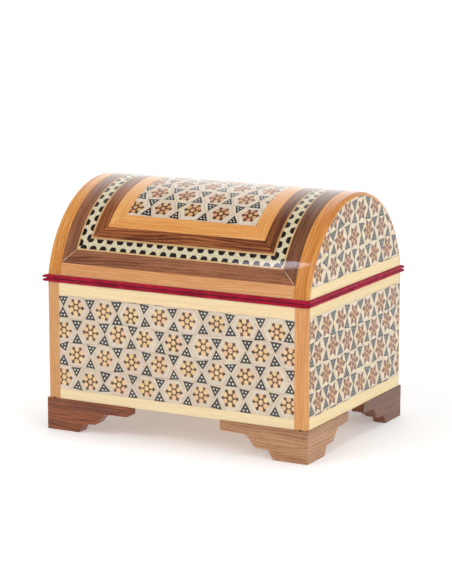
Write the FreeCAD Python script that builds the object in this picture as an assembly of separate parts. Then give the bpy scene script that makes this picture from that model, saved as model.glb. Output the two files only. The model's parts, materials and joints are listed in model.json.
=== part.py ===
import FreeCAD, Part
import math
import os

V = FreeCAD.Vector

# Keepsake box with a barrel-vaulted lid, in millimetres.
# X runs along the box, the front faces -Y, Z is up.
# The origin is under the middle, on the surface that it stands on.

# --- Overall size -------------------------------------------------------------------------------------------
LENGTH = 130.0          # finished wood, end to end
DEPTH = 96.0            # finished wood, front to back
FOOT_HEIGHT = 14.6      # surface to the underside of the carcass
RIM_Z = 67.6            # top of the base's wood
LID_Z = 71.0            # underside of the lid's wood
AXIS_DROP = 9.4         # the vault's centre line lies this far below the lid's edge

# --- Boards, veneers and linings ----------------------------------------------------------------------------
BOARD = 5.0             # carcass boards, vault shell and end boards
VENEER = 1.0            # mosaic, strips and frames
POST_DEPTH = 1.8        # corner posts and lid end bands are thicker than the veneers
ARRIS = 1.6             # rounding of the outer corners
HOUSING = 2.0           # depth of the corner rebates and of the floor groove
FLOOR_Z = 17.6          # underside of the bottom board
FLOOR = 4.0
LINING = 1.2            # velvet over card
FLOOR_PAD = 2.0
LIP = 1.5               # thickness of each velvet lip at the seam
LIP_PROUD = 1.0         # how far the lips stand out from the wood
LIP_CORNER = 2.0

# --- Base decoration ----------------------------------------------------------------------------------------
POST_WIDTH = 6.3
FRONT_STRIP_TOP = 5.5   # cream strip under the rim, front and back
FRONT_STRIP_FOOT = 4.6  # cream strip above the feet, front and back
END_STRIP_TOP = 4.3
END_STRIP_FOOT = 5.1

# --- Lid decoration -----------------------------------------------------------------------------------------
BAND_WIDTH = 7.0        # light band bent over each end of the vault
GIRTH = 61.7            # ridge to the lower edge of the outer frame, along the curve
LID_STRIP = 4.7         # cream strip along the foot of each lid end
FRAME_WIDTHS = [        # nested frames on the vault, from the outside in
    ("lid_outer_walnut_frame", 6.5),
    ("lid_outer_line", 0.7),
    ("lid_zigzag_band", 5.0),
    ("lid_inner_line", 0.9),
    ("lid_inner_walnut_frame", 5.7),
    ("lid_light_frame", 7.1),
]

# --- Feet ---------------------------------------------------------------------------------------------------
FOOT_BOARD = 6.0
FOOT_PROUD = 0.4
FOOT_LONG = 42.5        # along the front and back
FOOT_SHORT = 40.5       # along the ends
FOOT_PAD = 16.5         # flat part that stands on the surface
FOOT_STEP = (18.8, 4.2)
FOOT_LEDGE = (25.3, 4.5)
FOOT_SHELF = (29.8, 9.8)
FOOT_TIP_Z = 10.0
PAD_ROUND = 0.7
STEP_ROUND = 1.3
OGEE_ROUND = 2.2
TIP_ROUND = 1.3
FOOT_EASE = 0.3         # softened edge of the outer face
NAIL_X = 61.8
NAIL_R = 0.45
NAIL_DEPTH = 2.0

# --- Hinges -------------------------------------------------------------------------------------------------
HINGE_X = 35.0
HINGE_LENGTH = 18.0
HINGE_Y = DEPTH / 2 + 1.2
HINGE_Z = (RIM_Z + LID_Z) / 2
LEAF = 0.7
LEAF_FRONT = 42.9
KNUCKLE_R = 1.6
KNUCKLE_GAP = 0.3
LID_KNUCKLE = 5.8
PIN_R = 0.7
PIN_CLEARANCE = 0.05
LEAF_RELIEF = 0.25      # gap between a leaf's edge and the other leaf's knuckles
SCREW_X = 5.5
SCREW_Y = 44.8
SCREW_HEAD_R = 1.1
SCREW_R = 0.55
SCREW_LENGTH = 4.6
SLOT_WIDTH = 0.35       # driver slot across each screw's head
SLOT_DEPTH = 0.35
SLOT_TURN = 35.0        # each slot stands this much further round than the last, in degrees
NOTCH_GAP = 0.3

# --- Derived places -----------------------------------------------------------------------------------------
HALF_L = LENGTH / 2
HALF_D = DEPTH / 2
VAULT_R = math.hypot(HALF_D, AXIS_DROP)
AXIS_Z = LID_Z - AXIS_DROP
BOARD_X = HALF_L - VENEER               # outer face of the end boards
BOARD_Y = HALF_D - VENEER               # outer face of the front and back boards
INNER_X = BOARD_X - BOARD
INNER_Y = BOARD_Y - BOARD
POST_X = HALF_L - POST_WIDTH            # inner edge of the corner posts
POST_Y = HALF_D - POST_DEPTH            # back face of the corner posts
SHELL_R = VAULT_R - VENEER
SHELL_INNER_R = SHELL_R - BOARD
BAND_X = HALF_L - BAND_WIDTH
BAND_R = VAULT_R - POST_DEPTH
LINED_X = INNER_X - LINING
LINED_Y = INNER_Y - LINING
LID_LIP_Z = LID_Z - LIP
SCREW_PLACES = [side * HINGE_X + step for side in (-1, 1) for step in (-SCREW_X, SCREW_X)]
REACH = 2 * LENGTH                      # larger than the box, for half-space blocks

nodes = {}


def block(x0, x1, y0, y1, z0, z1):
    """Box between opposite corners, given in any order."""
    low = V(min(x0, x1), min(y0, y1), min(z0, z1))
    return Part.makeBox(abs(x1 - x0), abs(y1 - y0), abs(z1 - z0), low)


def ring(outer_x, outer_y, inner_x, inner_y, z0, z1):
    """Rectangular ring centred on the box."""
    outer = block(-outer_x, outer_x, -outer_y, outer_y, z0, z1)
    return outer.cut(block(-inner_x, inner_x, -inner_y, inner_y, z0, z1))


def rod(start, along, radius, length):
    """Round bar from a point in a direction."""
    return Part.makeCylinder(radius, length, start, along)


def flip_x(shape):
    return shape.mirror(V(0, 0, 0), V(1, 0, 0))


def flip_y(shape):
    return shape.mirror(V(0, 0, 0), V(0, 1, 0))


def round_edges(shape, radius, chosen):
    """Rounds the edges whose middle points pass the test."""
    edges = [e for e in shape.Edges if chosen(e.valueAt((e.FirstParameter + e.LastParameter) / 2))]
    return shape.makeFillet(radius, edges)


def near(a, b):
    return abs(a - b) < 1e-6


def vault_point(radius, angle, x=0.0):
    """Point on the vault at an angle from the ridge, in radians, positive towards the back."""
    return V(x, radius * math.sin(angle), AXIS_Z + radius * math.cos(angle))


def vault_bar(r0, r1, a0, a1, x0, x1):
    """Part of a tube round the vault's centre line, between two radii, two angles and two cross planes."""
    middle = (a0 + a1) / 2
    outer = Part.Arc(vault_point(r1, a0, x0), vault_point(r1, middle, x0), vault_point(r1, a1, x0))
    inner = Part.Arc(vault_point(r0, a1, x0), vault_point(r0, middle, x0), vault_point(r0, a0, x0))
    sides = [
        Part.LineSegment(vault_point(r1, a1, x0), vault_point(r0, a1, x0)),
        Part.LineSegment(vault_point(r0, a0, x0), vault_point(r1, a0, x0)),
    ]
    wire = Part.Wire([outer.toShape(), sides[0].toShape(), inner.toShape(), sides[1].toShape()])
    return Part.Face(wire).extrude(V(x1 - x0, 0, 0))


def vault_disc(radius, x0, x1):
    """Whole round slab on the vault's centre line."""
    return rod(V(min(x0, x1), 0, AXIS_Z), V(1, 0, 0), radius, abs(x1 - x0))


def above(shape, z):
    return shape.common(block(-REACH, REACH, -REACH, REACH, z, REACH))


def vault_arch(r0, r1, x0, x1):
    """Tube wall round the vault's centre line, cut off level at the lid's edge."""
    return above(vault_disc(r1, x0, x1).cut(vault_disc(r0, x0, x1)), LID_Z)


# --- Base ---------------------------------------------------------------------------------------------------


def screw_blank(x, z, up):
    """Countersunk screw with no slot, its head at a leaf's face; up is +1 into the lid, -1 into the base."""
    head_depth = SCREW_HEAD_R - SCREW_R
    way = V(0, 0, up)
    head = Part.makeCone(SCREW_HEAD_R, SCREW_R, head_depth, V(x, SCREW_Y, z), way)
    return head.fuse(rod(V(x, SCREW_Y, z), way, SCREW_R, SCREW_LENGTH)).removeSplitter()


def slotted(blanks, z):
    """The finished screws, a driver slot cut across each head at its face."""
    screws = []
    for i, (blank, x) in enumerate(zip(blanks, SCREW_PLACES)):
        slot = block(-REACH, REACH, -SLOT_WIDTH / 2, SLOT_WIDTH / 2, -SLOT_DEPTH, SLOT_DEPTH)
        slot.rotate(V(0, 0, 0), V(0, 0, 1), i * SLOT_TURN)
        screws.append(blank.cut(slot.translated(V(x, SCREW_Y, z))))
    return Part.makeCompound(screws)


BASE_SCREW_Z = RIM_Z + LEAF
LID_SCREW_Z = LID_Z - LEAF
BASE_SCREW_BLANKS = [screw_blank(x, BASE_SCREW_Z, -1) for x in SCREW_PLACES]
LID_SCREW_BLANKS = [screw_blank(x, LID_SCREW_Z, 1) for x in SCREW_PLACES]


def hinge_notches(z0, z1):
    """Gaps in a velvet lip that let the hinges through."""
    half = HINGE_LENGTH / 2 + NOTCH_GAP
    return [
        block(side * HINGE_X - half, side * HINGE_X + half, LEAF_FRONT - NOTCH_GAP, REACH, z0, z1)
        for side in (-1, 1)
    ]


def nail_holes():
    """Small holes at the foot of each corner post, on the line where the post meets the foot."""
    return [
        rod(V(side * NAIL_X, -HALF_D - FOOT_PROUD, FOOT_HEIGHT), V(0, 1, 0), NAIL_R, NAIL_DEPTH)
        for side in (-1, 1)
    ]


def make_carcass():
    groove = block(-REACH, REACH, -INNER_Y, -INNER_Y - HOUSING, FLOOR_Z, FLOOR_Z + FLOOR)
    front = block(-BOARD_X, BOARD_X, -BOARD_Y, -INNER_Y, FOOT_HEIGHT, RIM_Z).cut(groove)
    for side in (-1, 1):
        corner = block(side * INNER_X, side * REACH, -INNER_Y, -INNER_Y - HOUSING, 0, REACH)
        post_seat = block(side * POST_X, side * REACH, -REACH, -POST_Y, 0, REACH)
        front = front.cut(corner).cut(post_seat)
    nodes["base_front_board"] = front
    nodes["base_back_board"] = flip_y(front).cut(BASE_SCREW_BLANKS)

    half_end = INNER_Y + HOUSING
    end = block(INNER_X, BOARD_X, -half_end, half_end, FOOT_HEIGHT, RIM_Z)
    end = end.cut(block(INNER_X, INNER_X + HOUSING, -REACH, REACH, FLOOR_Z, FLOOR_Z + FLOOR))
    nodes["base_right_board"] = end
    nodes["base_left_board"] = flip_x(end)

    half_floor = INNER_X + HOUSING
    nodes["base_bottom_board"] = block(-half_floor, half_floor, -half_end, half_end, FLOOR_Z, FLOOR_Z + FLOOR)


def make_posts():
    post = block(POST_X, HALF_L, -HALF_D, -POST_Y, FOOT_HEIGHT, RIM_Z)
    post = round_edges(post, ARRIS, lambda p: near(p.x, HALF_L) and near(p.y, -HALF_D))
    post = post.cut(nail_holes())
    nodes["post_front_right"] = post
    nodes["post_front_left"] = flip_x(post)
    nodes["post_back_right"] = flip_y(post)
    nodes["post_back_left"] = flip_x(flip_y(post))


def make_base_veneers():
    """Cream strip, mosaic, cream strip on each side, from the rim down."""

    def front_sheet(z0, z1):
        return block(-POST_X, POST_X, -HALF_D, -BOARD_Y, z0, z1)

    def right_sheet(z0, z1):
        return block(BOARD_X, HALF_L, -POST_Y, POST_Y, z0, z1)

    sides = [
        ("front", "back", front_sheet, flip_y, FRONT_STRIP_TOP, FRONT_STRIP_FOOT),
        ("right", "left", right_sheet, flip_x, END_STRIP_TOP, END_STRIP_FOOT),
    ]
    for name, opposite, sheet, flip, top, foot in sides:
        pieces = {
            "cream_strip_%s_top": sheet(RIM_Z - top, RIM_Z),
            "mosaic_%s": sheet(FOOT_HEIGHT + foot, RIM_Z - top),
            "cream_strip_%s_foot": sheet(FOOT_HEIGHT, FOOT_HEIGHT + foot),
        }
        for pattern, piece in pieces.items():
            nodes[pattern % name] = piece
            nodes[pattern % opposite] = flip(piece)


def rounded_outline(corners):
    """Closed outline in the XZ plane through (x, z, radius) corners, an arc at each that has a radius."""
    places = [V(x, 0, z) for x, z, _ in corners]
    pieces = []
    for i, place in enumerate(places):
        back = (places[i - 1] - place).normalize()
        on = (places[(i + 1) % len(places)] - place).normalize()
        half = back.getAngle(on) / 2
        radius = corners[i][2]
        trim = radius / math.tan(half)
        middle = place + (back + on).normalize() * (radius / math.sin(half) - radius)
        pieces.append((place + back * trim, middle, place + on * trim, radius))
    edges = []
    for i, (start, middle, end, radius) in enumerate(pieces):
        edges.append(Part.LineSegment(pieces[i - 1][2], start).toShape())
        if radius:
            edges.append(Part.Arc(start, middle, end).toShape())
    return Part.Wire(edges)


def foot_board(length):
    """Shaped foot board along +X from its mitred outer corner at the origin, with its thickness along +Y."""
    outline = rounded_outline([
        (0, 0, 0),
        (FOOT_PAD, 0, PAD_ROUND),
        (*FOOT_STEP, STEP_ROUND),
        (*FOOT_LEDGE, OGEE_ROUND),
        (*FOOT_SHELF, OGEE_ROUND),
        (length, FOOT_TIP_Z, TIP_ROUND),
        (length, FOOT_HEIGHT, 0),
        (0, FOOT_HEIGHT, 0),
    ])
    board = Part.Face(outline).extrude(V(0, FOOT_BOARD, 0))
    board = round_edges(board, FOOT_EASE, lambda p: near(p.y, 0) and p.x > 1 and p.z < FOOT_HEIGHT - 1)
    corner = [V(0, 0, -1), V(0, FOOT_BOARD, -1), V(FOOT_BOARD, FOOT_BOARD, -1), V(0, 0, -1)]
    return board.cut(Part.Face(Part.makePolygon(corner)).extrude(V(0, 0, FOOT_HEIGHT + 2)))


def make_feet():
    corner = V(-HALF_L - FOOT_PROUD, -HALF_D - FOOT_PROUD, 0)
    long_board = foot_board(FOOT_LONG).translated(corner).cut(nail_holes())
    short_board = foot_board(FOOT_SHORT).mirror(V(0, 0, 0), V(1, -1, 0)).translated(corner)
    for kind, board in (("long", long_board), ("short", short_board)):
        nodes["foot_front_left_" + kind] = board
        nodes["foot_front_right_" + kind] = flip_x(board)
        nodes["foot_back_left_" + kind] = flip_y(board)
        nodes["foot_back_right_" + kind] = flip_x(flip_y(board))


def velvet_lip(z0):
    """Padded velvet edge that covers a rim and stands out round the seam, cut away round the hinges."""
    out_x = HALF_L + LIP_PROUD
    out_y = HALF_D + LIP_PROUD
    lip = ring(out_x, out_y, LINED_X, LINED_Y, z0, z0 + LIP)
    lip = round_edges(lip, LIP_CORNER, lambda p: near(abs(p.x), out_x) and near(abs(p.y), out_y))
    return lip.cut(hinge_notches(z0, z0 + LIP))


def make_base_lining():
    pad_z = FLOOR_Z + FLOOR
    nodes["base_floor_pad"] = block(-LINED_X, LINED_X, -LINED_Y, LINED_Y, pad_z, pad_z + FLOOR_PAD)
    nodes["base_wall_lining"] = ring(INNER_X, INNER_Y, LINED_X, LINED_Y, pad_z, RIM_Z)
    nodes["base_velvet_lip"] = velvet_lip(RIM_Z)


# --- Lid ----------------------------------------------------------------------------------------------------


def make_lid_boards():
    shell = vault_arch(SHELL_INNER_R, SHELL_R, -BOARD_X, BOARD_X)
    for side in (-1, 1):
        shell = shell.cut(vault_arch(BAND_R, VAULT_R, side * BAND_X, side * HALF_L))
    nodes["lid_vault"] = shell.cut(LID_SCREW_BLANKS)
    end = above(vault_disc(SHELL_INNER_R, INNER_X, BOARD_X), LID_Z)
    nodes["lid_right_board"] = end
    nodes["lid_left_board"] = flip_x(end)


def make_lid_bands():
    band = vault_arch(BAND_R, VAULT_R, BAND_X, HALF_L)
    on_arris = lambda p: near(p.x, HALF_L) and near(math.hypot(p.y, p.z - AXIS_Z), VAULT_R)
    band = round_edges(band, ARRIS, on_arris)
    nodes["lid_right_band"] = band
    nodes["lid_left_band"] = flip_x(band)

    lower = vault_bar(SHELL_R, VAULT_R, -math.pi / 2, -GIRTH / VAULT_R, -BAND_X, BAND_X)
    nodes["lid_front_strip"] = above(lower, LID_Z)
    nodes["lid_back_strip"] = flip_y(nodes["lid_front_strip"])


def cover(half_length, half_girth):
    """Veneer over the middle of the vault, out to a half length and a half girth from the ridge."""
    angle = half_girth / VAULT_R
    return vault_bar(SHELL_R, VAULT_R, -angle, angle, -half_length, half_length)


def mitre_block(outer, inner, side_x, side_y):
    """Everything on the end's side of one corner mitre, whose plane holds the diagonal and the radius."""
    outer_angle = side_y * outer[1] / VAULT_R
    inner_angle = side_y * inner[1] / VAULT_R
    far = vault_point(VAULT_R, outer_angle, side_x * outer[0])
    close = vault_point(VAULT_R, inner_angle, side_x * inner[0])
    diagonal = (far - close).normalize()
    radial = vault_point(1, (outer_angle + inner_angle) / 2) - V(0, 0, AXIS_Z)
    normal = diagonal.cross(radial).normalize() * side_x
    if normal.x * side_x < 0:
        normal = normal * -1
    half_space = Part.makeBox(2 * REACH, 2 * REACH, REACH, V(-REACH, -REACH, 0))
    half_space.Placement = FreeCAD.Placement((far + close) / 2, FreeCAD.Rotation(V(0, 0, 1), normal))
    return half_space


def mitred_frame(outer, inner):
    """Four veneer strips round the vault's middle, mitred at the corners."""
    whole = cover(*outer).cut(cover(*inner))
    pieces = []
    for side in (-1, 1):
        end = whole.common(block(0, side * REACH, -REACH, REACH, 0, REACH))
        edge = whole.common(block(-REACH, REACH, 0, side * REACH, 0, REACH))
        for other in (-1, 1):
            end = end.common(mitre_block(outer, inner, side, other))
            edge = edge.cut(mitre_block(outer, inner, other, side))
        pieces += end.Solids + edge.Solids
    return Part.makeCompound(pieces)


def make_lid_frames():
    outer = (BAND_X, GIRTH)
    for name, width in FRAME_WIDTHS:
        inner = (outer[0] - width, outer[1] - width)
        nodes[name] = mitred_frame(outer, inner)
        outer = inner
    nodes["mosaic_lid_top"] = cover(*outer)


def make_lid_ends():
    end = above(vault_disc(BAND_R, BOARD_X, HALF_L), LID_Z)
    strip_top = LID_Z + LID_STRIP
    below = block(-REACH, REACH, -REACH, REACH, 0, strip_top)
    nodes["cream_strip_lid_right"] = end.common(below)
    nodes["cream_strip_lid_left"] = flip_x(nodes["cream_strip_lid_right"])
    nodes["mosaic_lid_right"] = above(end, strip_top)
    nodes["mosaic_lid_left"] = flip_x(nodes["mosaic_lid_right"])


def make_lid_lining():
    nodes["lid_vault_lining"] = vault_arch(SHELL_INNER_R - LINING, SHELL_INNER_R, -LINED_X, LINED_X)
    end = above(vault_disc(SHELL_INNER_R, LINED_X, INNER_X), LID_Z)
    nodes["lid_end_linings"] = Part.makeCompound([end, flip_x(end)])
    nodes["lid_velvet_lip"] = velvet_lip(LID_LIP_Z)


# --- Hinges -------------------------------------------------------------------------------------------------


def knuckle(x0, x1, bore, leaf_z):
    """One knuckle with the neck that joins it to its leaf."""
    barrel = rod(V(x0, HINGE_Y, HINGE_Z), V(1, 0, 0), KNUCKLE_R, x1 - x0)
    neck = block(x0, x1, HINGE_Y, HINGE_Y - KNUCKLE_R - LEAF_RELIEF, leaf_z, leaf_z + LEAF)
    return barrel.fuse(neck).cut(rod(V(x0, HINGE_Y, HINGE_Z), V(1, 0, 0), bore, x1 - x0))


def leaf(x, leaf_z, spans, bore, screw_set):
    """Hinge leaf with its knuckles, centred at x."""
    half = HINGE_LENGTH / 2
    plate = block(x - half, x + half, LEAF_FRONT, HINGE_Y - KNUCKLE_R - LEAF_RELIEF, leaf_z, leaf_z + LEAF)
    for start, end in spans:
        plate = plate.fuse(knuckle(x + start, x + end, bore, leaf_z))
    return plate.cut(screw_set).removeSplitter()


def make_hinges():
    half = HINGE_LENGTH / 2
    lid_end = LID_KNUCKLE / 2
    base_start = lid_end + KNUCKLE_GAP
    base_spans = [(-half, -base_start), (base_start, half)]
    lid_spans = [(-lid_end, lid_end)]
    for side, name in ((-1, "left"), (1, "right")):
        x = side * HINGE_X
        nodes["hinge_%s_base_leaf" % name] = leaf(x, RIM_Z, base_spans, PIN_R, BASE_SCREW_BLANKS)
        lid_bore = PIN_R + PIN_CLEARANCE
        nodes["hinge_%s_lid_leaf" % name] = leaf(x, LID_SCREW_Z, lid_spans, lid_bore, LID_SCREW_BLANKS)
    starts = [V(side * HINGE_X - half, HINGE_Y, HINGE_Z) for side in (-1, 1)]
    nodes["hinge_pins"] = Part.makeCompound([rod(s, V(1, 0, 0), PIN_R, HINGE_LENGTH) for s in starts])
    nodes["hinge_base_screws"] = slotted(BASE_SCREW_BLANKS, BASE_SCREW_Z)
    nodes["hinge_lid_screws"] = slotted(LID_SCREW_BLANKS, LID_SCREW_Z)


make_carcass()
make_posts()
make_base_veneers()
make_feet()
make_base_lining()
make_lid_boards()
make_lid_bands()
make_lid_frames()
make_lid_ends()
make_lid_lining()
make_hinges()

os.makedirs("parts", exist_ok=True)
for node, shape in nodes.items():
    assert shape.isValid() and shape.Volume > 0, node
    shape.exportStep("parts/%s.step" % node)
    print("%-26s %d solid(s) %10.2f mm3" % (node, len(shape.Solids), shape.Volume))
print(len(nodes), "nodes")
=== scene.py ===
import json
import math
import random

import bmesh
import bpy
from mathutils import Matrix, Vector, noise

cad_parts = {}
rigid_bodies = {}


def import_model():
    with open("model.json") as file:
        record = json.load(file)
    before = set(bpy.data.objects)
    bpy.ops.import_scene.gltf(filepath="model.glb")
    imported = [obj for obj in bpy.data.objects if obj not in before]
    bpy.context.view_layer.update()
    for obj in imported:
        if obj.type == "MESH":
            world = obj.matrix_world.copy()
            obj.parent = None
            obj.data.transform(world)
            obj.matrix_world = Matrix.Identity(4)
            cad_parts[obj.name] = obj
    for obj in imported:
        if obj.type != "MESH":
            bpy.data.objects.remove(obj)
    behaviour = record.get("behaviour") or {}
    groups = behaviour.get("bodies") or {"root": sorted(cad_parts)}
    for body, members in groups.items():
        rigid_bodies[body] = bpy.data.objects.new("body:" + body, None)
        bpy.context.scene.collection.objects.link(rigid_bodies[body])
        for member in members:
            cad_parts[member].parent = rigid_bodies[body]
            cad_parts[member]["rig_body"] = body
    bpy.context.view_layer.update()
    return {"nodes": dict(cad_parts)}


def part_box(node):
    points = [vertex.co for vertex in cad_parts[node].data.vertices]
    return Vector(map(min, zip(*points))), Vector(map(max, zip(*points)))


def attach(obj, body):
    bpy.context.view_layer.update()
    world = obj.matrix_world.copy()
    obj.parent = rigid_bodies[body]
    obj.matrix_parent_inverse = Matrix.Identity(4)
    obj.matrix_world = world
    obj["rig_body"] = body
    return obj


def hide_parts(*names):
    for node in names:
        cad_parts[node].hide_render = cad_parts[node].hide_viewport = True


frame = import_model()

# Looks of a keepsake box with a barrel-vaulted lid: inlaid panels, lacquered woods, velvet and brass.
# Sizes below are in millimetres unless a name says otherwise; the frame itself is in metres.

MM = 0.001
nodes = frame["nodes"]
draw = random.Random(452)


# --- Places, measured from the frame ---


def corners(node):
    """Lowest and highest corner of a CAD node, in millimetres."""
    low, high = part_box(node)
    return low / MM, high / MM


band_low, band_high = corners("lid_right_band")
HALF_LENGTH = band_high.x
HALF_DEPTH = band_high.y
LID_EDGE = band_low.z
BAND_X = band_low.x
RISE = band_high.z - LID_EDGE
VAULT_R = (HALF_DEPTH ** 2 + RISE ** 2) / (2 * RISE)
VAULT_Z = band_high.z - VAULT_R
EDGE_GIRTH = VAULT_R * math.acos((LID_EDGE - VAULT_Z) / VAULT_R)
VENEER = HALF_DEPTH + corners("mosaic_front")[1].y      # the front mosaic's back face is this far inside
BAND_DEPTH = VAULT_R - (corners("mosaic_lid_right")[1].z - VAULT_Z)

FRAME_NODES = [         # nested on the vault, from the outside in
    "lid_outer_walnut_frame",
    "lid_outer_line",
    "lid_zigzag_band",
    "lid_inner_line",
    "lid_inner_walnut_frame",
    "lid_light_frame",
    "mosaic_lid_top",
]


def half_size(node):
    """Half length and half girth of a piece that lies over the vault."""
    high = corners(node)[1]
    return high.x, VAULT_R * math.asin(high.y / VAULT_R)


# --- Surfaces that the inlay is laid on ---


class Flat:
    """A flat face: u runs to the right and v upwards for someone who looks at it, h stands out from it."""

    def __init__(self, origin, right, up):
        self.origin = Vector(origin)
        self.right = Vector(right)
        self.up = Vector(up)
        self.out = self.right.cross(self.up)

    def point(self, u, v, h):
        return self.origin + self.right * u + self.up * v + self.out * h

    def normal(self, u, v):
        return self.out


class Vault:
    """The lid's curve: u runs along the box and v round the curve from the ridge towards the back."""

    def point(self, u, v, h):
        angle = v / VAULT_R
        reach = VAULT_R + h
        return Vector((u, reach * math.sin(angle), VAULT_Z + reach * math.cos(angle)))

    def normal(self, u, v):
        angle = v / VAULT_R
        return Vector((0, math.sin(angle), math.cos(angle)))


UP = (0, 0, 1)
FRONT = Flat((0, -HALF_DEPTH, 0), (1, 0, 0), UP)
BACK = Flat((0, HALF_DEPTH, 0), (-1, 0, 0), UP)
RIGHT = Flat((HALF_LENGTH, 0, 0), (0, 1, 0), UP)
LEFT = Flat((-HALF_LENGTH, 0, 0), (0, -1, 0), UP)
VAULT = Vault()
BEND_STEP = 1.5         # longest flat run of a veneer round the vault


# --- Outlines: lists of (u, v) corners, counter-clockwise and convex ---


def edges(outline):
    return zip(outline, outline[1:] + outline[:1])


def between(p, q, share):
    return p[0] + (q[0] - p[0]) * share, p[1] + (q[1] - p[1]) * share


def side_of(a, b, p):
    """Positive where p lies to the left of the line from a to b."""
    return (b[0] - a[0]) * (p[1] - a[1]) - (b[1] - a[1]) * (p[0] - a[0])


def trimmed(outline, border):
    """The part of an outline that lies inside a border."""
    for a, b in edges(border):
        sides = [side_of(a, b, p) for p in outline]
        if min(sides) >= 0:
            continue
        kept = []
        for (p, q), (s, t) in zip(edges(outline), edges(sides)):
            if s >= 0:
                kept.append(p)
            if (s > 0 > t) or (s < 0 < t):
                kept.append(between(p, q, s / (s - t)))
        outline = kept
        if len(outline) < 3:
            return []
    return outline


def without_short_edges(outline, shortest):
    return [p for p, q in edges(outline) if math.dist(p, q) > shortest]


def drawn_in(outline, distance):
    """The outline moved inwards all round; None where nothing is left."""
    ways = []
    for p, q in edges(outline):
        length = math.dist(p, q)
        ways.append(((p[1] - q[1]) / length, (q[0] - p[0]) / length))
    moved = []
    for i, (u, v) in enumerate(outline):
        (au, av), (bu, bv) = ways[i - 1], ways[i]
        reach = distance / (1 + au * bu + av * bv)
        moved.append((u + (au + bu) * reach, v + (av + bv) * reach))
    for (p, q), (m, n) in zip(edges(outline), edges(moved)):
        if (q[0] - p[0]) * (n[0] - m[0]) + (q[1] - p[1]) * (n[1] - m[1]) <= 0:
            return None
    return moved


def bend_lines(outline, inner, step):
    """Both outlines with a corner added wherever the first crosses a bend line."""
    bent = []
    for (p, q), (m, n) in zip(edges(outline), edges(inner)):
        bent.append((p, m))
        low, high = sorted((p[1] / step, q[1] / step))
        lines = [k for k in range(math.floor(low) + 1, math.ceil(high)) if low < k - 1e-5 and k + 1e-5 < high]
        for k in sorted(lines, reverse=q[1] < p[1]):
            share = (k * step - p[1]) / (q[1] - p[1])
            bent.append((between(p, q, share), between(m, n, share)))
    return [p for p, _ in bent], [m for _, m in bent]


def polygon(centre, radius, count, turn=0.0):
    """Regular outline, its first corner at an angle in degrees."""
    angles = [math.radians(turn + 360 * i / count) for i in range(count)]
    return [(centre[0] + radius * math.cos(a), centre[1] + radius * math.sin(a)) for a in angles]


def turned(outline, degrees, size, place):
    """An outline turned about its origin, sized and carried to a place."""
    c = math.cos(math.radians(degrees)) * size
    s = math.sin(math.radians(degrees)) * size
    return [(place[0] + u * c - v * s, place[1] + u * s + v * c) for u, v in outline]


def rectangle(u0, u1, v0, v1):
    return [(u0, v0), (u1, v0), (u1, v1), (u0, v1)]


# --- Laying closed tiles on a surface ---

SHORT_EDGES = (0.02, 0.1, 0.3)      # dropped in turn until an outline can be eased


class Layer:
    """Gathers closed tiles on one surface and makes them one mesh object."""

    def __init__(self, surface):
        self.surface = surface
        self.bends = isinstance(surface, Vault)
        self.points = []
        self.faces = []
        self.normals = []
        self.finishes = []
        self.tones = []

    def add_face(self, corner_ids, finish, tone, normals=None):
        a, b, c = (self.points[i] for i in corner_ids[:3])
        flat = (b - a).cross(c - a).normalized()
        self.faces.append(corner_ids)
        self.normals += normals or [flat] * len(corner_ids)
        self.finishes.append(finish)
        self.tones.append(tone)

    def lay(self, outline, top, depth, finish, ease, tone):
        """One closed tile with eased top edges, its top at a height over the surface."""
        for shortest in SHORT_EDGES:
            outline = without_short_edges(outline, shortest)
            if len(outline) < 3:
                return
            inner = drawn_in(outline, ease)
            if inner:
                break
        if inner is None:
            return
        if self.bends:
            outline, inner = bend_lines(outline, inner, BEND_STEP)
        first = len(self.points)
        count = len(outline)
        for ring, height in ((outline, top - depth), (outline, top - ease), (inner, top)):
            self.points += [self.surface.point(u, v, height) for u, v in ring]
        for i in range(count):
            j = (i + 1) % count
            for low in (first, first + count):
                self.add_face([low + i, low + j, low + count + j, low + count + i], finish, tone)
        crown = first + 2 * count
        for strip in self.strips(outline):
            normals = [self.surface.normal(*outline[i]) for i in strip]
            self.add_face([crown + i for i in strip], finish, tone, normals)
            self.add_face([first + i for i in reversed(strip)], finish, tone)

    def strips(self, outline):
        """Corner numbers of each part of the outline between two bend lines."""
        if not self.bends:
            return [list(range(len(outline)))]
        levels = [v / BEND_STEP for _, v in outline]
        found = []
        for k in range(math.floor(min(levels) + 1e-6), math.ceil(max(levels) - 1e-6)):
            strip = [i for i, level in enumerate(levels) if k - 1e-5 < level < k + 1 + 1e-5]
            if len(strip) > 2:
                found.append(strip)
        return found

    def finish(self, name, materials):
        mesh = bpy.data.meshes.new(name)
        mesh.from_pydata([p * MM for p in self.points], [], self.faces)
        for material in materials:
            mesh.materials.append(material)
        mesh.polygons.foreach_set("material_index", self.finishes)
        mesh.shade_smooth()
        mark_tones(mesh, self.tones)
        mesh.normals_split_custom_set(self.normals)
        return shown(name, mesh)


def mark_tones(mesh, tones):
    """Gives each face its own number from 0 to 1, which its material reads."""
    mesh.attributes.new("tone", "FLOAT", "FACE").data.foreach_set("value", tones)


def shown(name, mesh):
    """A new object in the scene."""
    made = bpy.data.objects.new(name, mesh)
    bpy.context.scene.collection.objects.link(made)
    return made


def settle(piece, slot, *replaced):
    """A new piece stands for its CAD nodes and rides with their body; its slot is not used."""
    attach(piece, nodes[replaced[0]]["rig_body"])
    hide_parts(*replaced)
    return piece


# --- Wiring of materials ---


def linear(red, green, blue):
    """A colour as it is seen on a screen, 0 to 255, for a shader socket."""
    shares = [value / 255 for value in (red, green, blue)]
    straight = [s / 12.92 if s <= 0.04045 else ((s + 0.055) / 1.055) ** 2.4 for s in shares]
    return (*straight, 1.0)


def palette(*colours):
    """A row of screen colours for shader sockets."""
    return [linear(*colour) for colour in colours]


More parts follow.
